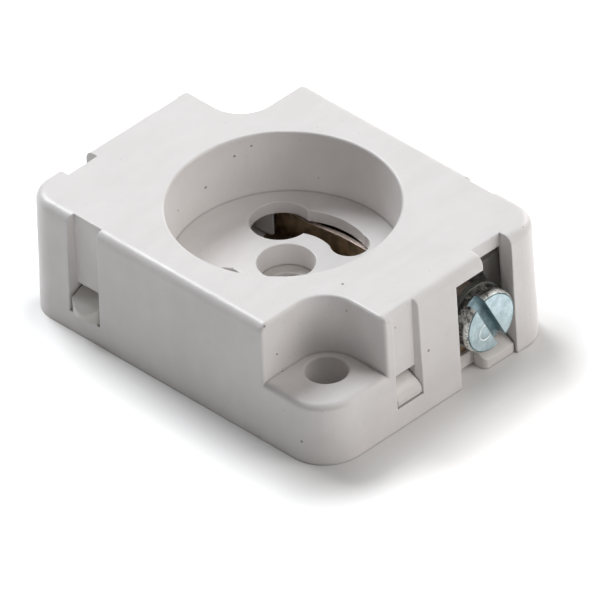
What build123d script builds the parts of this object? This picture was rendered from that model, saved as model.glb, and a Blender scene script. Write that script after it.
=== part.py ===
from build123d import *
import math
import os

os.makedirs("parts", exist_ok=True)

# Origin on the axis of the starter cup, at the mounting surface. X runs along the longer side,
# Y along the shorter side and Z up, out of the cup. The whole socket repeats after half a turn
# about Z, so each feature is described once, on the +X side, and copied by that half turn.

# Body envelope, measured where the walls meet the mounting surface
body_length = 40.25
body_width = 30.5
body_height = 13.35
wall_draft = 1.0
wall = 1.7
top_plate = 1.0
top_edge_radius = 0.95
full_corner_radius = 3.5
flange_corner_radius = 4.3

# Cup that holds the starter can
cup_radius = 11.2
cup_depth = 6.9
cup_wall = 1.5
cup_floor = 1.3
cup_rim_radius = 0.25

# Bayonet keyholes in the cup floor, on the pin circle
pin_circle_radius = 6.5
slot_width = 3.6
entry_radius = 3.0
entry_angle = 139.6
lock_angle = 67.0
lock_radius = 1.9

# Centre hole in the cup floor, standing on the base's centre boss
centre_hole_radius = 2.83
centre_tube_wall = 1.35
boss_height = 4.0
boss_hole_radius = 1.65

# Mounting flanges on two opposite corners
flange_height = 6.8
flange_plate = 1.5
flange_edge_radius = 0.7
recess_length = 8.125
recess_width = 8.65
recess_corner_radius = 3.6
recess_wall = 1.2
recess_edge_radius = 0.35
screw_hole_from_end = 5.175
screw_hole_from_side = 5.58
screw_hole_radius = 2.1
screw_hole_chamfer = 0.1
screw_tube_wall = 1.6

# Clip grooves with their latch windows: one in a side wall, one in an end wall
side_groove_depth = 0.95
end_groove_depth = 0.72
groove_sill = 2.33
side_groove_from_end = 6.125
side_groove_width = 4.1
end_groove_near = 2.1
end_groove_width = 3.5
groove_slant = 0.35
side_window_height = 3.0
end_window_height = 3.25

# Terminal opening in the end wall, with a notch through the top
opening_near = 2.85
opening_width = 7.45
opening_height = 11.85
notch_near = 6.45
opening_relief = 0.05

# Base plate
base_plate = 1.8
base_gap = 0.2
base_corner_gap = 0.25
base_edge_chamfer = 0.3

# Snap latches of the base
latch_thickness = 1.2
latch_height = 3.2
latch_side_gap = 0.15
latch_top_setback = 0.2
nose_setback = 0.12
nose_height = 0.75
nose_radius = 0.3
nose_bow = 0.42
side_nose_bulge = 0.65

# Tab of the base below the terminal opening
tab_setback = 0.325
tab_near = 6.3
tab_width = 3.85
tab_front_height = 1.3
tab_back_height = 2.1
tab_edge_run = 0.35
tab_edge_drop = 0.25
tab_corner_radius = 0.6

# Contact strip, folded from spring bronze into a channel whose inner wall bears on the starter pin
strip = 0.5
strip_wall_y = 9.2
strip_bend_radius = 1.0
strip_start_x = -8.8
blade_edge_start = 7.1
blade_edge_middle = 7.65
blade_edge_end = 7.75
blade_straight_x = -4.2
blade_middle_x = -0.5
blade_end_x = 6.5
blade_floor_gap = 0.2
foot_near_y = 5.6
foot_end_x = -0.5
foot_depth = 0.3
foot_pocket_gap = 0.1
terminal_setback = 2.275
terminal_far_y = 4.5
terminal_top = 8.1
terminal_corner_radius = 1.2
terminal_bend_overlap = 0.75
collar_wall = 0.7
collar_length = 1.0

# Terminal screw, M3.5 slotted cheese head, and its captive washer
screw_axis_y = 6.8
screw_axis_z = 5.7
shank_radius = 1.72
shank_length = 4.6
thread_clearance = 0.06
head_radius = 3.3
head_height = 1.9
head_edge_radius = 0.3
drive_slot_width = 1.25
drive_slot_depth = 1.1
drive_slot_angle = -64.0
shank_tip_chamfer = 0.4
washer_radius = 3.35
washer_thickness = 0.6
washer_clearance = 0.08

# Terminal block of the base, behind the contact strip
block_thickness = 2.15
block_near_y = 3.3
block_top = 8.0
block_strip_gap = 0.1
block_hole_gap = 0.15
post_setback = 1.35
post_thickness = 1.9
post_near_y = 9.7
post_far_y = 11.9
post_height = 9.3
post_notch_depth = 0.85
post_notch_top = 8.05
post_notch_bottom = 6.4

# Rib under the cup floor beside each keyhole entry
rib_near_x = 7.75
rib_far_x = 10.4
rib_y = 6.0
rib_thickness = 1.0
rib_bottom = 2.05
rib_corner_radius = 0.8
rib_end_slant = 1.1

# Levels and places that follow from the sizes above
cup_floor_top = body_height - cup_depth
cup_floor_bottom = cup_floor_top - cup_floor
cavity_top = body_height - top_plate
cup_outer_radius = cup_radius + cup_wall
lean = math.tan(math.radians(wall_draft))
screw_tube_radius = screw_hole_radius + screw_tube_wall
centre_tube_radius = centre_hole_radius + centre_tube_wall
base_length = body_length - 2 * (wall + base_gap)
base_width = body_width - 2 * (wall + base_gap)
collar_bore_radius = shank_radius + thread_clearance
collar_radius = collar_bore_radius + collar_wall
recess_x = body_length / 2 - recess_length
recess_y = body_width / 2 - recess_width
screw_hole_x = body_length / 2 - screw_hole_from_end
screw_hole_y = body_width / 2 - screw_hole_from_side
side_groove_left = body_length / 2 - side_groove_from_end
tab_reach = body_length / 2 - tab_setback
terminal_front_x = body_length / 2 - terminal_setback
block_back_x = terminal_front_x - strip - block_thickness
post_front_x = terminal_front_x - post_setback
post_back_x = post_front_x - post_thickness

# How far a cut runs past the faces that it goes through
overrun = 1.0
far = body_length + body_width


def half_turn(shape):
    return shape.rotate(Axis.Z, 180)


def pair(shape):
    return [shape, half_turn(shape)]


def block(x0, x1, y0, y1, z0, z1):
    return Pos((x0 + x1) / 2, (y0 + y1) / 2, (z0 + z1) / 2) * Box(abs(x1 - x0), abs(y1 - y0), abs(z1 - z0))


def post(radius, x, y, z0, z1):
    return Pos(x, y, (z0 + z1) / 2) * Cylinder(radius, z1 - z0)


def rise(plan, height):
    return extrude(plan, amount=height, dir=(0, 0, 1))


def prism(points, z0, z1):
    return Pos(0, 0, z0) * rise(Polygon(*points, align=None), z1 - z0)


def body_plan(inset):
    plan = Rectangle(body_length - 2 * inset, body_width - 2 * inset)
    plan = fillet([v for v in plan.vertices() if v.X * v.Y > 0], full_corner_radius - inset)
    return fillet([v for v in plan.vertices() if v.X * v.Y < 0], flange_corner_radius - inset)


def corner_plan(x, y, radius):
    plan = Polygon((x, -y), (far, -y), (far, -far), (x, -far), align=None)
    inner = plan.vertices().sort_by_distance((x, -y))[0]
    return fillet(inner, radius)


def keyhole():
    slot_outer = pin_circle_radius + slot_width / 2
    slot_inner = pin_circle_radius - slot_width / 2
    sweep = [(0, 0)]
    for angle in (lock_angle, entry_angle):
        turn = math.radians(angle)
        sweep.append((far * math.cos(turn), far * math.sin(turn)))
    slot = (Circle(slot_outer) - Circle(slot_inner)) & Polygon(*sweep, align=None)
    for angle, radius in ((entry_angle, entry_radius), (lock_angle, lock_radius)):
        turn = math.radians(angle)
        spot = Pos(pin_circle_radius * math.cos(turn), pin_circle_radius * math.sin(turn))
        slot += spot * Circle(radius)
    return slot


def side_groove():
    # Seen from above, the groove narrows towards its back plane on one side
    face = -body_width / 2
    back = face + side_groove_depth + lean * groove_sill
    left = -side_groove_left
    right = left + side_groove_width
    plan = [(left, face - overrun), (left, face), (left + groove_slant, back), (right, back)]
    plan.append((right, face - overrun))
    groove = prism(plan, groove_sill, far)
    window = block(left + groove_slant, right, face - overrun, face + wall + overrun, groove_sill,
                   groove_sill + side_window_height)
    return [groove, window]


def end_groove():
    face = body_length / 2
    back = face - end_groove_depth - lean * groove_sill
    near = -end_groove_near
    low = near - end_groove_width
    plan = [(face + overrun, near), (face, near), (back, near - groove_slant), (back, low)]
    plan.append((face + overrun, low))
    groove = prism(plan, groove_sill, far)
    window = block(face - wall - overrun, face + overrun, low, near - groove_slant, groove_sill,
                   groove_sill + end_window_height)
    return [groove, window]


def terminal_opening():
    inside = body_length / 2 - wall - opening_relief
    outside = body_length / 2 + overrun
    far_y = opening_near + opening_width
    low = block(inside - overrun, outside, opening_near, far_y, -overrun, opening_height)
    notch = block(inside, outside, notch_near, far_y, opening_height - overrun, far)
    return [low, notch]


def flange_pocket():
    plan = corner_plan(recess_x, recess_y, recess_corner_radius)
    return Pos(0, 0, flange_height) * rise(plan, far)


def flange_support():
    # Plate of the flange and the walls of the recess above it
    plan = corner_plan(recess_x - recess_wall, recess_y - recess_wall, recess_corner_radius + recess_wall)
    return Pos(0, 0, flange_height - flange_plate) * rise(plan, far)


def floor_rib():
    top = cup_floor_bottom + cup_floor / 2
    back_y = rib_y + rib_thickness
    rib = block(-rib_far_x, -rib_near_x, rib_y, back_y, rib_bottom, top)
    corner = rib.edges().filter_by(Axis.Y).group_by(Axis.Z)[0].sort_by(Axis.X)[-1]
    rib = fillet(corner, rib_corner_radius)
    # The inner end slants back, away from the keyhole entry
    slant = [(-rib_near_x, rib_y), (-rib_near_x - rib_end_slant, back_y), (-rib_near_x, back_y)]
    return rib - prism(slant, 0, top)


def make_cover():
    shell = extrude(body_plan(0), amount=body_height, taper=wall_draft)
    shell = fillet(shell.edges().group_by(Axis.Z)[-1], top_edge_radius)
    for pocket in pair(flange_pocket()):
        shell -= pocket
    shell = fillet(flange_outer_edges(shell), flange_edge_radius)
    shell = fillet(recess_top_edges(shell), recess_edge_radius)

    cavity = extrude(body_plan(wall), amount=cavity_top, taper=wall_draft)
    cavity -= post(cup_outer_radius, 0, 0, cup_floor_bottom, far)
    cavity -= post(centre_tube_radius, 0, 0, boss_height, far)
    for solid in pair(flange_support()) + pair(floor_rib()):
        cavity -= solid
    for solid in pair(post(screw_tube_radius, screw_hole_x, -screw_hole_y, -1, far)):
        cavity -= solid
    shell -= cavity

    shell -= post(cup_radius, 0, 0, cup_floor_top, far)
    rim = shell.edges().filter_by(GeomType.CIRCLE).group_by(Axis.Z)[-1]
    rim = [edge for edge in rim if abs(edge.radius - cup_radius) < 0.001]
    shell = fillet(rim, cup_rim_radius)
    shell -= post(centre_hole_radius, 0, 0, -1, far)
    slot = Pos(0, 0, cup_floor_bottom - overrun) * rise(keyhole(), cup_floor + 2 * overrun)
    cuts = [slot] + side_groove() + end_groove() + terminal_opening()
    cuts.append(screw_hole())
    for cut in cuts:
        for copy in pair(cut):
            shell -= copy
    return shell


def flange_outer_edges(shell):
    edges = []
    for edge in shell.edges().filter_by_position(Axis.Z, flange_height - 0.01, flange_height + 0.01):
        middle = edge.position_at(0.5)
        reach = lean * flange_height + 0.3
        on_end = abs(abs(middle.X) - body_length / 2) < reach
        on_side = abs(abs(middle.Y) - body_width / 2) < reach
        on_corner = edge.geom_type == GeomType.CIRCLE and abs(middle.X) > screw_hole_x
        if on_end or on_side or on_corner:
            edges.append(edge)
    return edges


def recess_top_edges(shell):
    edges = []
    for edge in shell.edges().filter_by_position(Axis.Z, body_height - 0.01, body_height + 0.01):
        middle = edge.position_at(0.5)
        if middle.X * middle.Y < 0 and abs(middle.X) > recess_x - 0.01 and abs(middle.Y) > recess_y - 0.01:
            edges.append(edge)
    return edges


def screw_hole():
    hole = post(screw_hole_radius, screw_hole_x, -screw_hole_y, -1, far)
    mouth = Pos(screw_hole_x, -screw_hole_y, flange_height - screw_hole_chamfer / 2)
    mouth *= Cone(screw_hole_radius, screw_hole_radius + screw_hole_chamfer, screw_hole_chamfer)
    return hole + mouth


def base_plan():
    plan = Rectangle(base_length, base_width)
    plan = fillet([v for v in plan.vertices() if v.X * v.Y > 0], full_corner_radius - wall - base_gap)
    clear = screw_tube_radius + base_corner_gap
    corner = corner_plan(screw_hole_x - clear, screw_hole_y - clear, screw_tube_radius / 2)
    plan -= corner
    plan -= corner.rotate(Axis.Z, 180)
    return plan


def latch(width, nose_reach, groove_depth, bulge, slant_side):
    # Stands on the plate with its outer face at X = 0 and its nose pointing along +X, with a
    # rounded front. On one side the nose widens outward with the slanted side of its groove.
    top = base_plate + latch_height
    tongue = block(-latch_thickness, 0, -width / 2, width / 2, base_plate / 2, top)
    bottom = groove_sill
    crest = bottom + nose_height
    shoulder = top - latch_top_setback
    half = width / 2
    chord = Vector(nose_reach, crest) - Vector(0, shoulder)
    bow = Vector(nose_reach / 2, (crest + shoulder) / 2) + Vector(-chord.Y, chord.X).normalized() * nose_bow
    outline = Polyline((0, shoulder), (-latch_thickness / 2, shoulder), (-latch_thickness / 2, bottom),
                       (nose_reach, bottom), (nose_reach, crest))
    outline += ThreePointArc((nose_reach, crest), (bow.X, bow.Y), (0, shoulder))
    profile = Plane.XZ * make_face(outline)
    nose = extrude(profile, amount=half + groove_slant, both=True)
    front = [e for e in nose.edges().filter_by(Axis.Y) if abs(e.center().X - nose_reach) < 0.01]
    lower = sorted(front, key=lambda e: e.center().Z)[0]
    nose = fillet(lower, nose_radius)
    flare = nose_reach - groove_depth
    wide = (half + groove_slant) * slant_side
    plan = [(-far, -half * slant_side), (far, -half * slant_side), (far, wide), (nose_reach, wide)]
    nose &= prism(plan + [(flare, half * slant_side), (-far, half * slant_side)], 0, far)
    if bulge > 0:
        # The front of the nose bows outward, most at its middle
        bow_radius = width * width / (8 * bulge) + bulge / 2
        middle = groove_slant * slant_side / 2
        nose &= post(bow_radius, nose_reach - bow_radius, middle, -far, far)
    return tongue + nose


def base_latches():
    inner_x = base_length / 2 - lean * (base_plate + latch_height)
    inner_y = base_width / 2 - lean * (base_plate + latch_height)
    end_width = end_groove_width - groove_slant - 2 * latch_side_gap
    end_centre = -end_groove_near - groove_slant - latch_side_gap - end_width / 2
    end_nose = body_length / 2 - lean * groove_sill - nose_setback - inner_x
    side_width = side_groove_width - groove_slant - 2 * latch_side_gap
    side_centre = -side_groove_left + groove_slant + latch_side_gap + side_width / 2
    side_nose = body_width / 2 - lean * groove_sill - nose_setback - inner_y + side_nose_bulge
    end_latch = Pos(inner_x, end_centre, 0) * latch(end_width, end_nose, end_groove_depth, 0, 1)
    side_latch = latch(side_width, side_nose, side_groove_depth, side_nose_bulge, -1)
    side_latch = Pos(side_centre, -inner_y, 0) * Rot(0, 0, -90) * side_latch
    return [end_latch, side_latch]


def base_tab():
    root = terminal_front_x + block_strip_gap
    profile = [(root, 0), (tab_reach, 0), (tab_reach, tab_front_height - tab_edge_drop)]
    profile += [(tab_reach - tab_edge_run, tab_front_height), (root, tab_back_height)]
    tab = extrude(Plane.XZ * Polygon(*profile, align=None), amount=-tab_width)
    tab = Pos(0, tab_near, 0) * tab
    near_corner = tab.edges().filter_by(Axis.Z).group_by(Axis.X)[-1].sort_by(Axis.Y)[0]
    return fillet(near_corner, tab_corner_radius)


def terminal_block():
    wall_front = terminal_front_x - strip
    far_side = strip_wall_y - strip / 2 - block_strip_gap
    back_wall = block(block_back_x, wall_front, block_near_y, far_side, base_plate / 2, block_top)
    bend_corner = back_wall.edges().filter_by(Axis.Z).group_by(Axis.X)[-1].sort_by(Axis.Y)[-1]
    back_wall = fillet(bend_corner, strip_bend_radius)
    bore = Pos(block_back_x, screw_axis_y, screw_axis_z) * Rot(0, 90, 0)
    cradle_radius = collar_radius + block_hole_gap
    back_wall -= bore * Cylinder(cradle_radius, 3 * (wall_front - block_back_x))
    back_wall -= block(0, far, screw_axis_y - cradle_radius, far, screw_axis_z, far)
    lower_near = post_near_y + post_notch_depth
    profile = [(post_far_y, base_plate / 2), (post_far_y, post_height), (post_near_y, post_height)]
    profile += [(post_near_y, post_notch_top), (lower_near, post_notch_bottom)]
    profile.append((lower_near, base_plate / 2))
    side_post = extrude(Plane.YZ * Polygon(*profile, align=None), amount=post_front_x - post_back_x)
    return [back_wall, Pos(post_back_x, 0, 0) * side_post]


def make_base():
    plate = extrude(base_plan(), amount=base_plate)
    plate = chamfer(plate.edges().group_by(Axis.Z)[0], base_edge_chamfer)
    plate += post(centre_tube_radius, 0, 0, base_plate / 2, boss_height)
    for solid in base_latches() + [base_tab()] + terminal_block():
        for copy in pair(solid):
            plate += copy
    plate -= post(boss_hole_radius, 0, 0, -1, far)
    pocket = rise(offset(contact_foot_plan(), foot_pocket_gap, kind=Kind.INTERSECTION), far)
    for copy in pair(Pos(0, 0, base_plate - foot_depth) * pocket & block(-far, far, 0, far, 0, base_plate)):
        plate -= copy
    return plate


def contact_foot_plan():
    outer = strip_wall_y + strip / 2
    inner = [(foot_end_x, foot_near_y), (foot_end_x, blade_edge_middle), (blade_end_x, blade_edge_end)]
    plan = [(strip_start_x, outer), (strip_start_x, foot_near_y)] + inner + [(blade_end_x, outer)]
    return Polygon(*plan, align=None)


def make_contact():
    blade_top = cup_floor_bottom - blade_floor_gap
    front = terminal_front_x - strip / 2
    path = FilletPolyline((strip_start_x, strip_wall_y), (front, strip_wall_y), (front, terminal_far_y),
                          radius=strip_bend_radius)
    ribbon = Pos(0, 0, base_plate) * extrude(trace(path, strip), amount=blade_top - base_plate)
    face = [(strip_start_x, blade_edge_start), (blade_straight_x, blade_edge_start)]
    face += [(blade_middle_x, blade_edge_middle), (blade_end_x, blade_edge_end)]
    back = [(x, y + strip) for x, y in reversed(face)]
    blade = prism(face + back, base_plate - foot_depth, blade_top)
    blade += Pos(0, 0, base_plate - foot_depth) * rise(contact_foot_plan(), strip)

    wide = strip_wall_y - strip / 2 - strip_bend_radius - terminal_far_y
    wide += terminal_bend_overlap
    plate = block(front - strip / 2, front + strip / 2, terminal_far_y, terminal_far_y + wide,
                  blade_top - strip, terminal_top)
    corners = plate.edges().filter_by(Axis.X).group_by(Axis.Z)[-1]
    plate = fillet(corners, terminal_corner_radius)
    ribbon = ribbon + blade + plate
    axis = Pos(front - strip / 2 - collar_length / 2, screw_axis_y, screw_axis_z) * Rot(0, 90, 0)
    ribbon += axis * Cylinder(collar_radius, collar_length)
    bore = Pos(front, screw_axis_y, screw_axis_z) * Rot(0, 90, 0)
    return ribbon - bore * Cylinder(collar_bore_radius, 4 * collar_length + 4 * strip)


def make_washer():
    middle = terminal_front_x + washer_thickness / 2
    ring = Cylinder(washer_radius, washer_thickness) - Cylinder(shank_radius + washer_clearance, far)
    return Pos(middle, screw_axis_y, screw_axis_z) * Rot(0, 90, 0) * ring


def make_screw():
    # Built along Z from the tip of the shank to the slotted face, then laid along X
    seat = washer_thickness + shank_length
    shank = Pos(0, 0, seat / 2) * Cylinder(shank_radius, seat)
    shank = chamfer(shank.edges().group_by(Axis.Z)[0], shank_tip_chamfer)
    head = Pos(0, 0, seat + head_height / 2) * Cylinder(head_radius, head_height)
    head = fillet(head.edges().group_by(Axis.Z)[-1], head_edge_radius)
    screw = shank + head
    slot = Pos(0, 0, seat + head_height) * Box(drive_slot_width, far, 2 * drive_slot_depth)
    screw -= slot.rotate(Axis.Z, drive_slot_angle)
    return Pos(terminal_front_x - shank_length, screw_axis_y, screw_axis_z) * Rot(0, 90, 0) * screw


cover = make_cover()
base = make_base()
contact = make_contact()
washer = make_washer()
screw = make_screw()

pieces = {
    "cover": cover,
    "base": base,
    "contact_right": contact,
    "contact_left": half_turn(contact),
    "screw_washer_right": washer,
    "screw_washer_left": half_turn(washer),
    "terminal_screw_right": screw,
    "terminal_screw_left": half_turn(screw),
}

for name, shape in pieces.items():
    export_step(shape, f"parts/{name}.step")
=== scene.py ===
import math
import bpy
import bmesh
from mathutils import Matrix, Vector


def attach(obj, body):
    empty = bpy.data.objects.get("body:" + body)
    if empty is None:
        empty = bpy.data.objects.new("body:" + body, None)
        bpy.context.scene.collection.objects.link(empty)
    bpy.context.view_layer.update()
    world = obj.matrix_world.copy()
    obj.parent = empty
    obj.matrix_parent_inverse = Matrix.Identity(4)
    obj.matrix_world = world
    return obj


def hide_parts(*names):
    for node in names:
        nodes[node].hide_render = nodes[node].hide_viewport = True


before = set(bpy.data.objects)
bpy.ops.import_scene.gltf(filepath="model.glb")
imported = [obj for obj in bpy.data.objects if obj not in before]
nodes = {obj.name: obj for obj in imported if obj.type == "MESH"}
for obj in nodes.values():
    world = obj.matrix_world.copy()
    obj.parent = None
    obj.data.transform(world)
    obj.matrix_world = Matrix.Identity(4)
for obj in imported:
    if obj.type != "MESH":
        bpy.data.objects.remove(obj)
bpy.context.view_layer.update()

MM = 0.001

# Camera: angles in degrees, offsets in mm at the object, distance in mm
CAMERA_AZIMUTH = 46.544
CAMERA_ELEVATION = 37.181
CAMERA_ROLL = 2.936
PIXELS_PER_MM = 10.58
CENTRE_X = 289.025
CENTRE_Y = 316.27
CAMERA_DISTANCE = 1666.7
IMAGE_SIZE = 600.0
SENSOR = 36.0

# Terminal screw, in mm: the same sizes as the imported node
SCREW_SEAT = 18.45
SCREW_Y = 6.8
SCREW_Z = 5.7
HEAD_RADIUS = 3.3
HEAD_HEIGHT = 1.9
FACE_RADIUS = 3.0
FACE_BEVEL = 0.55
SHANK_RADIUS = 1.72
SHANK_END = 13.25
SLOT_WIDTH = 1.25
SLOT_DEPTH = 1.1
SLOT_ANGLE = -64.0
THREAD_PITCH = 0.6
THREAD_DEPTH = 0.33
THREAD_RUN_OUT = 0.45
HEAD_SEGMENTS = 360
SHANK_SEGMENTS = 48
ROWS_PER_TURN = 12
KNURL_ROWS = 15
KNURL_DEPTH = 0.05
SHARP_ANGLE = 32
PUNCH_Y = 6.05
PUNCH_Z = 5.1
PUNCH_RADIUS = 0.85

# Material slots of the screw head; slot 0 is its flat face
BAND = 1
SLOT_WALL = 2
BEVEL = 3

# Painted edge highlight and painted corner shade on the plastics: reach in mm, colours in linear light
EDGE_ROUNDING = 0.2
CORNER_REACH = 0.45
EDGE_HIGHLIGHT_COLOR = (0.97, 0.962, 0.955)
CORNER_SHADE_COLOR = (0.28, 0.25, 0.23)

# Metals
METAL_EDGE_ROUNDING = 0.05
RINGS_PER_MM = 55.0
SHEARED_ABOVE = 4.0

# Studio: distances in metres for the lamps, in mm for the floor
LAMP_DISTANCE = 0.9
LAMP_TARGET = (0, 0, 0.006)
FLOOR_SIZE = 1.5
FLOOR_LEVEL = -0.02
FOOTPRINT_HALF = (19.0, 14.0, 0.0)
# Painted glow on the floor: reach from the footprint in mm, and its strength
PAINTED_GLOW_NEAR = 1.2
PAINTED_GLOW_FAR = 11.5
PAINTED_GLOW_LEAST = 0.01
PAINTED_GLOW_MOST = 0.58


# Materials

class Tree:
    """Short calls for building one material's nodes."""

    def __init__(self, name):
        self.material = bpy.data.materials.new(name)
        self.material.use_nodes = True
        self.tree = self.material.node_tree
        self.shader = self.tree.nodes["Principled BSDF"]
        coords = self.tree.nodes.new("ShaderNodeTexCoord")
        # A material may shift object_mm to vary its texture, while place_mm keeps the true places
        self.object_mm = self.scaled(coords.outputs["Object"], 1.0 / MM)
        self.place_mm = self.object_mm

    def node(self, kind, **settings):
        made = self.tree.nodes.new(kind)
        for key, value in settings.items():
            setattr(made, key, value)
        return made

    def link(self, source, target):
        self.tree.links.new(source, target)

    def scaled(self, vector, scale):
        mapping = self.node("ShaderNodeMapping")
        size = scale if isinstance(scale, (tuple, list)) else (scale,) * 3
        mapping.inputs["Scale"].default_value = size
        self.link(vector, mapping.inputs["Vector"])
        return mapping.outputs["Vector"]

    def noise(self, scale, detail, rough, stretch=None):
        source = self.object_mm
        if stretch:
            source = self.scaled(source, stretch)
        made = self.node("ShaderNodeTexNoise")
        made.inputs["Scale"].default_value = scale
        made.inputs["Detail"].default_value = detail
        made.inputs["Roughness"].default_value = rough
        self.link(source, made.inputs["Vector"])
        return made.outputs["Fac"]

    def spots(self, keep, least, most, offset=0.0, stretch=(1.0, 1.0, 1.0)):
        """Mask of sparse marks: radii in cells of 1 mm, keep is the share of cells with one."""
        moved = self.node("ShaderNodeVectorMath", operation="ADD")
        moved.inputs[1].default_value = (offset, offset, offset)
        self.link(self.scaled(self.object_mm, stretch), moved.inputs[0])
        cell = self.node("ShaderNodeTexVoronoi")
        cell.inputs["Scale"].default_value = 1.0
        self.link(moved.outputs["Vector"], cell.inputs["Vector"])
        lot = self.node("ShaderNodeSeparateColor")
        self.link(cell.outputs["Color"], lot.inputs["Color"])
        radius = self.remap(lot.outputs["Green"], 0.0, 1.0, least, most)
        inside = self.remap(self.math("SUBTRACT", radius, cell.outputs["Distance"]), 0.0, 0.03)
        return self.math("MULTIPLY", inside, self.remap(lot.outputs["Red"], 1 - keep, 1.001 - keep))

    def distance(self, centre, squash=(1.0, 1.0, 1.0)):
        """Distance in mm from a point, along the axes that squash keeps."""
        away = self.node("ShaderNodeVectorMath", operation="SUBTRACT")
        away.inputs[1].default_value = centre
        self.link(self.place_mm, away.inputs[0])
        length = self.node("ShaderNodeVectorMath", operation="LENGTH")
        self.link(self.scaled(away.outputs["Vector"], squash), length.inputs[0])
        return length.outputs["Value"]

    def remap(self, value, low, high, to_low=0.0, to_high=1.0, smooth=False):
        made = self.node("ShaderNodeMapRange")
        made.interpolation_type = "SMOOTHSTEP" if smooth else "LINEAR"
        ends = {"From Min": low, "From Max": high, "To Min": to_low, "To Max": to_high}
        for socket, number in ends.items():
            made.inputs[socket].default_value = number
        self.link(value, made.inputs["Value"])
        return made.outputs["Result"]

    def math(self, operation, first, second=None):
        made = self.node("ShaderNodeMath", operation=operation)
        for socket, value in zip(made.inputs, (first, second)):
            if value is None:
                continue
            if isinstance(value, (int, float)):
                socket.default_value = value
            else:
                self.link(value, socket)
        return made.outputs["Value"]

    def mix(self, factor, first, second):
        made = self.node("ShaderNodeMix", data_type="RGBA")
        sockets = [s for s in made.inputs if s.type == "RGBA"]
        self.link(factor, made.inputs["Factor"])
        for socket, value in zip(sockets, (first, second)):
            if isinstance(value, tuple):
                socket.default_value = value + (1.0,)
            else:
                self.link(value, socket)
        return [s for s in made.outputs if s.type == "RGBA"][0]

    def rounded(self, radius):
        """Normal that rounds the sharp edges, with the radius in mm."""
        made = self.node("ShaderNodeBevel")
        made.samples = 6
        made.inputs["Radius"].default_value = radius * MM
        return made.outputs["Normal"]

    def openness(self, reach):
        """1 on open faces, less in inner corners and gaps, with the reach in mm."""
        made = self.node("ShaderNodeAmbientOcclusion")
        made.samples = 8
        made.inputs["Distance"].default_value = reach * MM
        return made.outputs["AO"]

    def bump(self, layers, normal=None):
        """Normal bent by layers of (height, size in mm)."""
        for height, size in layers:
            made = self.node("ShaderNodeBump")
            made.inputs["Strength"].default_value = 1.0
            made.inputs["Distance"].default_value = size * MM
            self.link(height, made.inputs["Height"])
            if normal is not None:
                self.link(normal, made.inputs["Normal"])
            normal = made.outputs["Normal"]
        return normal

    def finish(self, color, roughness, normal, metallic=0.0, **constants):
        self.link(color, self.shader.inputs["Base Color"])
        self.link(roughness, self.shader.inputs["Roughness"])
        self.link(normal, self.shader.inputs["Normal"])
        self.shader.inputs["Metallic"].default_value = metallic
        for name, value in constants.items():
            self.shader.inputs[name.replace("_", " ")].default_value = value
        return self.material


def moulded_plastic(name, base, shade, speck, seed, marks=()):
    tree = Tree(name)
    shifted = tree.node("ShaderNodeVectorMath", operation="ADD")
    shifted.inputs[1].default_value = (seed, seed * 0.7, seed * 1.3)
    tree.link(tree.object_mm, shifted.inputs[0])
    tree.object_mm = shifted.outputs["Vector"]
    cloud = tree.noise(0.16, 4.0, 0.55)
    flow = tree.noise(0.5, 3.0, 0.5, stretch=(1.0, 0.35, 0.5))
    grain = tree.noise(6.0, 4.0, 0.6)
    mottle = tree.remap(tree.math("ADD", cloud, flow), 0.75, 1.25, smooth=True)
    color = tree.mix(mottle, base, shade)
    color = tree.mix(tree.remap(grain, 0.35, 0.75, 0.0, 0.10), color, shade)
    # Dark specks of burnt resin, round and drawn out, over a finer dust
    round_specks = tree.spots(0.016, 0.05, 0.14)
    long_specks = tree.spots(0.010, 0.05, 0.11, offset=37.0, stretch=(1.5, 1.5, 0.5))
    dust = tree.math("MULTIPLY", tree.spots(0.05, 0.08, 0.2, offset=11.0, stretch=(3.0, 3.0, 3.0)), 0.35)
    specks = tree.math("MAXIMUM", tree.math("MAXIMUM", round_specks, long_specks), dust)
    for x, y, z, radius in marks:
        mark = tree.remap(tree.distance((x, y, z)), radius - 0.02, radius + 0.05, 0.85, 0.0)
        specks = tree.math("MAXIMUM", specks, mark)
    color = tree.mix(specks, color, speck)
    ripple = tree.noise(0.9, 2.0, 0.5)
    scuff = tree.remap(tree.noise(1.6, 6.0, 0.75, stretch=(0.5, 2.0, 1.0)), 0.60, 0.72)
    satin = tree.remap(cloud, 0.3, 0.7, 0.30, 0.38)
    rough = tree.math("ADD", satin, tree.remap(grain, 0.3, 0.7, -0.03, 0.05))
    rough = tree.math("ADD", rough, tree.math("MULTIPLY", scuff, 0.12))
    # Painted highlight: the colour lightens on the sharp outer edges, but not in inner corners
    edge_normal = tree.rounded(EDGE_ROUNDING)
    turned = tree.node("ShaderNodeVectorMath", operation="DOT_PRODUCT")
    tree.link(edge_normal, turned.inputs[0])
    tree.link(tree.node("ShaderNodeNewGeometry").outputs["Normal"], turned.inputs[1])
    painted_edge_highlight = tree.remap(turned.outputs["Value"], 0.992, 0.88, 0.0, 0.85)
    openness = tree.openness(CORNER_REACH)
    painted_edge_highlight = tree.math("MULTIPLY", painted_edge_highlight, tree.remap(openness, 0.80, 0.95))
    color = tree.mix(painted_edge_highlight, color, EDGE_HIGHLIGHT_COLOR)
    # Painted shade: the colour darkens in the inner corners and gaps, and where the body meets the floor
    color = tree.mix(tree.remap(openness, 0.78, 0.38, 0.0, 0.6), color, CORNER_SHADE_COLOR)
    layers = [(ripple, 0.03), (grain, 0.006), (scuff, 0.004), (specks, -0.02)]
    normal = tree.bump(layers, edge_normal)
    return tree.finish(color, rough, normal, IOR=1.5)


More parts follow.
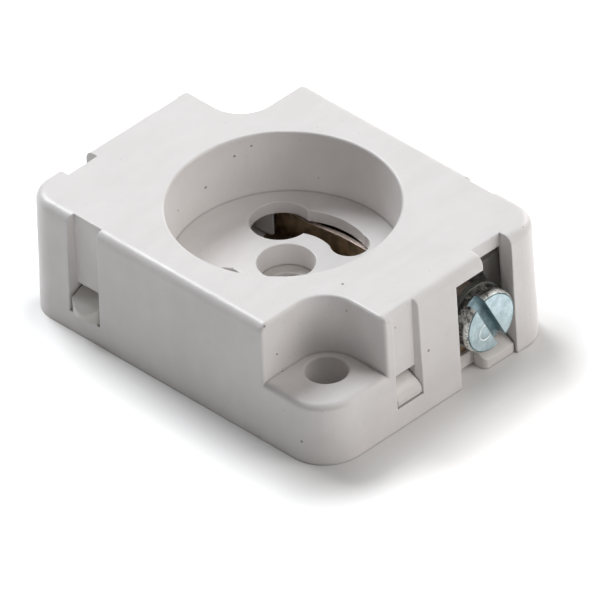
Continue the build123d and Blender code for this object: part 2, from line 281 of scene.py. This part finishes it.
def zinc(name, base, shade, axis_y, axis_z, stain_color=(0.22, 0.22, 0.21), stain_from=0.60,
         punch=None):
    # Turned face: fine rings about the screw's axis, with a bluish passivated cloud
    tree = Tree(name)
    radius = tree.distance((0.0, axis_y, axis_z), (0.0, 1.0, 1.0))
    cloud = tree.noise(0.9, 4.0, 0.6)
    grit = tree.noise(9.0, 4.0, 0.65)
    wobble = tree.math("MULTIPLY", cloud, 0.12)
    rings = tree.math("SINE", tree.math("MULTIPLY", tree.math("ADD", radius, wobble), RINGS_PER_MM))
    color = tree.mix(tree.remap(cloud, 0.35, 0.65, smooth=True), base, shade)
    stain = tree.remap(tree.noise(2.6, 5.0, 0.7), stain_from, stain_from + 0.1, 0.0, 0.7)
    color = tree.mix(stain, color, stain_color)
    color = tree.mix(tree.remap(grit, 0.55, 0.75, 0.0, 0.35), color, (0.92, 0.95, 0.94))
    layers = [(cloud, 0.02), (rings, 0.0012), (grit, 0.008)]
    if punch:
        # A shallow ring struck into the face
        punch_y, punch_z, punch_radius = punch
        from_centre = tree.distance((0.0, punch_y, punch_z), (0.0, 1.0, 1.0))
        off = tree.math("ABSOLUTE", tree.math("SUBTRACT", from_centre, punch_radius))
        ring = tree.remap(off, 0.03, 0.16, 1.0, 0.0, smooth=True)
        color = tree.mix(tree.math("MULTIPLY", ring, 0.6), color, (0.93, 0.96, 0.95))
        layers.append((ring, -0.06))
    sheen = tree.remap(cloud, 0.3, 0.7, 0.27, 0.40)
    rough = tree.math("ADD", sheen, tree.remap(grit, 0.3, 0.7, 0.0, 0.10))
    normal = tree.bump(layers, tree.rounded(METAL_EDGE_ROUNDING))
    return tree.finish(color, rough, normal, metallic=1.0)


def bronze(name, base, shade, cut_edge):
    # Rolled strip: fine lines along the rolling direction, brown tarnish, bright sheared top edges
    tree = Tree(name)
    lines = tree.noise(14.0, 3.0, 0.6, stretch=(0.08, 0.08, 1.0))
    tarnish = tree.noise(0.7, 5.0, 0.6)
    color = tree.mix(tree.remap(tarnish, 0.38, 0.62, smooth=True), base, shade)
    facing = tree.node("ShaderNodeSeparateXYZ")
    tree.link(tree.node("ShaderNodeNewGeometry").outputs["True Normal"], facing.inputs["Vector"])
    height = tree.node("ShaderNodeSeparateXYZ")
    tree.link(tree.place_mm, height.inputs["Vector"])
    upward = tree.remap(facing.outputs["Z"], 0.8, 0.9)
    high = tree.remap(height.outputs["Z"], SHEARED_ABOVE, SHEARED_ABOVE + 0.2)
    sheared = tree.math("MULTIPLY", upward, high)
    worn = tree.remap(tree.noise(3.0, 4.0, 0.6), 0.3, 0.6, 0.65, 1.0)
    color = tree.mix(tree.math("MULTIPLY", sheared, worn), color, cut_edge)
    sheen = tree.remap(tarnish, 0.3, 0.7, 0.28, 0.46)
    rough = tree.math("ADD", sheen, tree.remap(lines, 0.3, 0.7, 0.0, 0.08))
    normal = tree.bump([(lines, 0.008), (tarnish, 0.02)], tree.rounded(METAL_EDGE_ROUNDING))
    return tree.finish(color, rough, normal, metallic=1.0)


def give(obj, material):
    obj.data.materials.clear()
    obj.data.materials.append(material)


# Specks on the cup, the front and the end of the cover: x, y, z and radius in mm
placed_specks = [
    (20.0, -1.2, 6.8, 0.13), (-11.2, 0.6, 9.3, 0.13), (13.0, -5.2, 13.3, 0.13),
    (-10.5, 3.9, 11.5, 0.12), (16.8, -15.1, 2.4, 0.12), (-9.8, 5.5, 12.2, 0.10),
    (19.1, -4.3, 11.9, 0.12), (-3.1, -4.1, 6.5, 0.10), (-10.6, -3.7, 9.3, 0.09),
    (14.9, -6.7, 12.0, 0.08), (11.9, -14.5, 13.1, 0.09), (12.0, -12.6, 6.8, 0.07),
]
cover_plastic = moulded_plastic("cover_plastic", base=(0.800, 0.772, 0.758), shade=(0.765, 0.735, 0.720),
                                speck=(0.20, 0.165, 0.14), seed=0.0, marks=placed_specks)
# The base's plastic is a little darker and warmer than the cover's as painted shade of the dim inside
base_plastic = moulded_plastic("base_plastic", base=(0.780, 0.750, 0.718), shade=(0.740, 0.708, 0.672),
                               speck=(0.15, 0.11, 0.08), seed=31.0)
# Dark bronze: brown tarnish, and painted shade of the dim inside where the contacts sit
contact_bronze = bronze("contact_bronze", base=(0.42, 0.31, 0.20), shade=(0.24, 0.175, 0.11),
                        cut_edge=(0.92, 0.80, 0.72))

give(nodes["cover"], cover_plastic)
give(nodes["base"], base_plastic)
for side in ("right", "left"):
    give(nodes["contact_" + side], contact_bronze)


# Terminal screws

def lathe(bm, profile, segments, ripple=None):
    """Surface of revolution about X. Profile points are (x, radius) in mm; radius 0 closes an end."""
    rings = []
    for index, (x, radius) in enumerate(profile):
        if radius == 0:
            rings.append([bm.verts.new((x, 0, 0))])
            continue
        ring = []
        for step in range(segments):
            turn = 2 * math.pi * step / segments
            reach = radius + (ripple(index, turn) if ripple else 0.0)
            ring.append(bm.verts.new((x, reach * math.cos(turn), reach * math.sin(turn))))
        rings.append(ring)
    for first, second in zip(rings, rings[1:]):
        for step in range(segments):
            following = (step + 1) % segments
            if len(first) == 1:
                bm.faces.new((first[0], second[following], second[step]))
            elif len(second) == 1:
                bm.faces.new((first[step], first[following], second[0]))
            else:
                bm.faces.new((first[step], first[following], second[following], second[step]))
    bmesh.ops.recalc_face_normals(bm, faces=bm.faces)


def mesh_object(name, bm):
    mesh = bpy.data.meshes.new(name)
    bm.to_mesh(mesh)
    bm.free()
    made = bpy.data.objects.new(name, mesh)
    bpy.context.scene.collection.objects.link(made)
    return made


def apply_all(obj):
    graph = bpy.context.evaluated_depsgraph_get()
    mesh = bpy.data.meshes.new_from_object(obj.evaluated_get(graph))
    obj.modifiers.clear()
    obj.data = mesh


def cut(obj, tool):
    """Takes one mesh out of another."""
    boolean = obj.modifiers.new("cut", "BOOLEAN")
    boolean.operation = "DIFFERENCE"
    boolean.solver = "EXACT"
    boolean.object = tool
    apply_all(obj)
    bpy.data.objects.remove(tool)


def head_mesh(name):
    """Slotted head: a knurled band, a bevel, a fine groove inside it and the flat face."""
    top = SCREW_SEAT + HEAD_HEIGHT
    profile = [(SCREW_SEAT, 0.0), (SCREW_SEAT, HEAD_RADIUS - 0.22)]
    profile.append((SCREW_SEAT + 0.12, HEAD_RADIUS - 0.06))
    last_row = KNURL_ROWS - 1
    band_width = HEAD_HEIGHT - 0.25 - FACE_BEVEL
    first_knurled = len(profile)
    for row in range(KNURL_ROWS):
        profile.append((SCREW_SEAT + 0.2 + row * band_width / last_row, HEAD_RADIUS - 0.05))
    profile += [(top - FACE_BEVEL, HEAD_RADIUS - 0.02), (top - 0.4 * FACE_BEVEL, HEAD_RADIUS - 0.10)]
    profile += [(top - 0.05, FACE_RADIUS + 0.06), (top - 0.14, FACE_RADIUS), (top, FACE_RADIUS - 0.06)]
    profile += [(top, 2.0), (top, 1.0), (top, 0.0)]

    def knurl(index, turn):
        row = index - first_knurled
        if row < 0 or row > last_row:
            return 0.0
        fade = min(row, last_row - row, 3) / 3.0
        lines = math.sin(58 * turn + 0.5 * row) * 0.5 + math.sin(37 * turn - 0.9 * row) * 0.5
        return KNURL_DEPTH * lines * fade - 0.02 * (1 - fade)

    bm = bmesh.new()
    lathe(bm, profile, HEAD_SEGMENTS, knurl)
    head = mesh_object(name, bm)
    slot = bmesh.new()
    slot_turn = Matrix.Rotation(math.radians(SLOT_ANGLE + 90), 3, "X")
    bmesh.ops.create_cube(slot, size=1.0)
    bmesh.ops.scale(slot, vec=(2 * SLOT_DEPTH, SLOT_WIDTH, 4 * HEAD_RADIUS), verts=slot.verts)
    bmesh.ops.translate(slot, vec=(top, 0, 0), verts=slot.verts)
    bmesh.ops.rotate(slot, cent=(0, 0, 0), matrix=slot_turn, verts=slot.verts)
    cut(head, mesh_object(name + "_slot", slot))
    return head


def shank_mesh(name):
    """Thread as a helical ridge whose crest is at the shank's radius."""
    rows = int((SCREW_SEAT - SHANK_END) / THREAD_PITCH * ROWS_PER_TURN)
    bm = bmesh.new()
    grid = []
    for row in range(rows + 1):
        x = SHANK_END + row * THREAD_PITCH / ROWS_PER_TURN
        ring = []
        for step in range(SHANK_SEGMENTS):
            turn = 2 * math.pi * step / SHANK_SEGMENTS
            phase = (x / THREAD_PITCH - step / SHANK_SEGMENTS) % 1.0
            ridge = min(1.0, 1.35 * (1 - abs(2 * phase - 1)))
            taper = min(1.0, (x - SHANK_END) / THREAD_RUN_OUT)
            radius = SHANK_RADIUS - THREAD_DEPTH * (1 - ridge * taper)
            ring.append(bm.verts.new((x, radius * math.cos(turn), radius * math.sin(turn))))
        grid.append(ring)
    for first, second in zip(grid, grid[1:]):
        for step in range(SHANK_SEGMENTS):
            following = (step + 1) % SHANK_SEGMENTS
            bm.faces.new((first[step], first[following], second[following], second[step]))
    for ring in (grid[0], grid[-1]):
        bm.faces.new(ring)
    bmesh.ops.recalc_face_normals(bm, faces=bm.faces)
    return mesh_object(name, bm)


def smooth_by_angle(obj, angle):
    obj.data.shade_smooth()
    limit = math.radians(angle)
    bm = bmesh.new()
    bm.from_mesh(obj.data)
    for edge in bm.edges:
        if len(edge.link_faces) == 2 and edge.calc_face_angle(0.0) > limit:
            edge.smooth = False
    bm.to_mesh(obj.data)
    bm.free()


def dress_head(head, sign):
    # The rough side and the bevel each have a finish of their own; the walls of the slot and the fine
    # groove around the face take a darker copy of the face's zinc as painted shade in these hollows
    for material in (band_steel, slot_shade_steel, bevel_steel):
        head.data.materials.append(material)
    top = (SCREW_SEAT + HEAD_HEIGHT) * MM
    turn = math.radians(SLOT_ANGLE + 90)
    for face in head.data.polygons:
        x, y, z = face.center
        x, y, z = sign * x, sign * y - SCREW_Y * MM, z - SCREW_Z * MM
        across = abs(y * math.cos(turn) + z * math.sin(turn))
        radius = math.hypot(y, z)
        in_slot = across < (SLOT_WIDTH / 2 + 0.01) * MM and x > top - (SLOT_DEPTH + 0.02) * MM
        in_groove = (FACE_RADIUS - 0.05) * MM < radius < (FACE_RADIUS + 0.05) * MM
        if in_slot and x < top - 0.01 * MM and radius < (HEAD_RADIUS - 0.12) * MM:
            face.material_index = SLOT_WALL
        elif in_groove and x < top - 0.01 * MM:
            face.material_index = SLOT_WALL
        elif x > top - (FACE_BEVEL + 0.02) * MM and radius > (FACE_RADIUS + 0.02) * MM:
            face.material_index = BEVEL
        elif radius > (HEAD_RADIUS - 0.2) * MM:
            face.material_index = BAND


band_steel = zinc("screw_band", base=(0.16, 0.155, 0.14), shade=(0.80, 0.80, 0.77), axis_y=0.0, axis_z=0.0,
                  stain_color=(0.02, 0.02, 0.018), stain_from=0.46)
# Painted shade: this darker copy of the face's zinc goes on the slot's walls and the groove around the face
slot_shade_steel = zinc("screw_slot_shade", base=(0.30, 0.42, 0.46), shade=(0.16, 0.23, 0.25), axis_y=0.0, axis_z=0.0)
bevel_steel = zinc("screw_bevel", base=(0.95, 0.96, 0.93), shade=(0.75, 0.76, 0.72), axis_y=0.0, axis_z=0.0,
                   stain_color=(0.04, 0.035, 0.03), stain_from=0.50)
for side, sign in (("right", 1), ("left", -1)):
    axis_y = sign * SCREW_Y
    screw_zinc = zinc("screw_zinc_" + side, base=(0.56, 0.68, 0.71), shade=(0.42, 0.53, 0.565),
                      axis_y=axis_y, axis_z=SCREW_Z, stain_color=(0.40, 0.46, 0.47), stain_from=0.62,
                      punch=(sign * PUNCH_Y, PUNCH_Z, PUNCH_RADIUS))
    washer_steel = zinc("washer_steel_" + side, base=(0.45, 0.47, 0.43), shade=(0.30, 0.32, 0.30),
                        axis_y=axis_y, axis_z=SCREW_Z)
    node = "terminal_screw_" + side
    placed = Matrix.Rotation(math.pi if side == "left" else 0.0, 4, "Z") @ Matrix.Scale(MM, 4)
    placed = placed @ Matrix.Translation((0, SCREW_Y, SCREW_Z))
    for part, maker in (("head", head_mesh), ("shank", shank_mesh)):
        piece = maker("screw_%s_%s" % (part, side))
        piece.data.transform(placed)
        smooth_by_angle(piece, SHARP_ANGLE)
        give(piece, screw_zinc)
        if part == "head":
            dress_head(piece, sign)
        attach(piece, "screw_" + side)
        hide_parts(node)
    give(nodes["screw_washer_" + side], washer_steel)


# Lamps, world, floor and camera

def look_at(obj, target):
    direction = Vector(target) - obj.location
    obj.rotation_euler = direction.to_track_quat("-Z", "Y").to_euler()


def area_light(name, azimuth, elevation, size, power, color):
    data = bpy.data.lights.new(name, "AREA")
    data.shape = "DISK"
    data.size = size
    data.energy = power
    data.color = color
    lamp = bpy.data.objects.new(name, data)
    turn, rise = math.radians(azimuth), math.radians(elevation)
    direction = Vector((math.cos(rise) * math.cos(turn), math.cos(rise) * math.sin(turn), math.sin(rise)))
    lamp.location = direction * LAMP_DISTANCE
    look_at(lamp, LAMP_TARGET)
    bpy.context.scene.collection.objects.link(lamp)


# Azimuth from +X and elevation in degrees, size in metres, power in watts, colour
area_light("key_back", 168.0, 50.0, 0.42, 5.3, (0.955, 0.995, 1.03))
area_light("key_low", 185.0, 35.0, 0.5, 1.6, (0.965, 0.995, 1.02))
area_light("edge_right", 100.0, 25.0, 0.5, 2.5, (1.0, 0.985, 0.975))
area_light("fill_right", 30.0, 25.0, 0.5, 2.4, (1.0, 0.985, 0.975))
area_light("fill_middle", 60.0, 25.0, 0.5, 0.9, (1.0, 0.985, 0.975))
area_light("fill_high", 10.0, 50.0, 0.6, 1.0, (1.0, 0.985, 0.975))
area_light("fill_front", 312.0, 44.0, 0.5, 0.35, (1.02, 0.980, 0.965))

def studio_world():
    """Weak ambient light, seen by the camera as plain white."""
    world = bpy.data.worlds.new("studio")
    world.use_nodes = True
    tree = world.node_tree
    tree.nodes.clear()
    output = tree.nodes.new("ShaderNodeOutputWorld")
    ambient = tree.nodes.new("ShaderNodeBackground")
    ambient.inputs["Color"].default_value = (0.98, 0.985, 1.0, 1.0)
    ambient.inputs["Strength"].default_value = 0.05
    seen = tree.nodes.new("ShaderNodeBackground")
    seen.inputs["Color"].default_value = (1.0, 1.0, 1.0, 1.0)
    seen.inputs["Strength"].default_value = 1.0
    path = tree.nodes.new("ShaderNodeLightPath")
    choose = tree.nodes.new("ShaderNodeMixShader")
    tree.links.new(path.outputs["Is Camera Ray"], choose.inputs["Fac"])
    tree.links.new(ambient.outputs["Background"], choose.inputs[1])
    tree.links.new(seen.outputs["Background"], choose.inputs[2])
    tree.links.new(choose.outputs["Shader"], output.inputs["Surface"])
    bpy.context.scene.world = world


def beyond_footprint(tree):
    """Distance in mm along the floor from the box that the object stands on."""
    outward = tree.node("ShaderNodeVectorMath", operation="ABSOLUTE")
    tree.link(tree.object_mm, outward.inputs[0])
    beyond = tree.node("ShaderNodeVectorMath", operation="SUBTRACT")
    beyond.inputs[1].default_value = FOOTPRINT_HALF
    tree.link(outward.outputs["Vector"], beyond.inputs[0])
    positive = tree.node("ShaderNodeVectorMath", operation="MAXIMUM")
    tree.link(beyond.outputs["Vector"], positive.inputs[0])
    reach = tree.node("ShaderNodeVectorMath", operation="LENGTH")
    tree.link(tree.scaled(positive.outputs["Vector"], (1.0, 1.0, 0.0)), reach.inputs[0])
    return reach.outputs["Value"]


def floor_paper():
    tree = Tree("floor_paper")
    paper = tree.noise(0.05, 2.0, 0.5)
    color = tree.mix(paper, (0.80, 0.79, 0.78), (0.82, 0.81, 0.80))
    rough = tree.remap(paper, 0.0, 1.0, 0.75, 0.85)
    material = tree.finish(color, rough, tree.bump([(paper, 0.01)]), Specular_IOR_Level=0.1)
    # Painted light: the paper glows for camera and glossy rays, most away from the object and to its left,
    # which fades its shadow there
    along = tree.node("ShaderNodeSeparateXYZ")
    tree.link(tree.object_mm, along.inputs["Vector"])
    leftward = tree.remap(along.outputs["X"], 12.0, -20.0, 0.0, 4.0)
    reach = tree.math("ADD", beyond_footprint(tree), leftward)
    painted_glow = tree.remap(reach, PAINTED_GLOW_NEAR, PAINTED_GLOW_FAR, PAINTED_GLOW_LEAST, PAINTED_GLOW_MOST,
                           smooth=True)
    rays = tree.node("ShaderNodeLightPath")
    seen_straight = tree.math("MAXIMUM", rays.outputs["Is Camera Ray"], rays.outputs["Is Glossy Ray"])
    glow = tree.node("ShaderNodeEmission")
    glow.inputs["Color"].default_value = (1.0, 1.0, 1.0, 1.0)
    tree.link(tree.math("MULTIPLY", seen_straight, painted_glow), glow.inputs["Strength"])
    both = tree.node("ShaderNodeAddShader")
    tree.link(tree.shader.outputs["BSDF"], both.inputs[0])
    tree.link(glow.outputs["Emission"], both.inputs[1])
    tree.link(both.outputs["Shader"], tree.tree.nodes["Material Output"].inputs["Surface"])
    return material


studio_world()
bm = bmesh.new()
bmesh.ops.create_grid(bm, x_segments=4, y_segments=4, size=FLOOR_SIZE)
floor = mesh_object("floor", bm)
floor.location.z = FLOOR_LEVEL * MM
give(floor, floor_paper())


def place_camera():
    azimuth, elevation = math.radians(CAMERA_AZIMUTH), math.radians(CAMERA_ELEVATION)
    roll = math.radians(CAMERA_ROLL)
    right = Vector((math.cos(azimuth), math.sin(azimuth), 0))
    level = math.cos(elevation)
    back = Vector((math.sin(azimuth) * level, -math.cos(azimuth) * level, math.sin(elevation)))
    up = back.cross(right)
    across = right * math.cos(roll) - up * math.sin(roll)
    upward = right * math.sin(roll) + up * math.cos(roll)
    middle = IMAGE_SIZE / 2
    shift = across * (middle - CENTRE_X) + upward * (CENTRE_Y - middle)
    spot = shift / PIXELS_PER_MM + back * CAMERA_DISTANCE
    data = bpy.data.cameras.new("camera")
    data.sensor_width = SENSOR
    data.lens = SENSOR * CAMERA_DISTANCE * PIXELS_PER_MM / IMAGE_SIZE
    data.clip_start = 0.05
    data.clip_end = 10.0
    camera = bpy.data.objects.new("camera", data)
    facing = Matrix((across, upward, back)).transposed().to_4x4()
    camera.matrix_world = Matrix.Translation(spot * MM) @ facing
    bpy.context.scene.collection.objects.link(camera)
    bpy.context.scene.camera = camera


place_camera()
bpy.context.scene.view_settings.view_transform = "Standard"
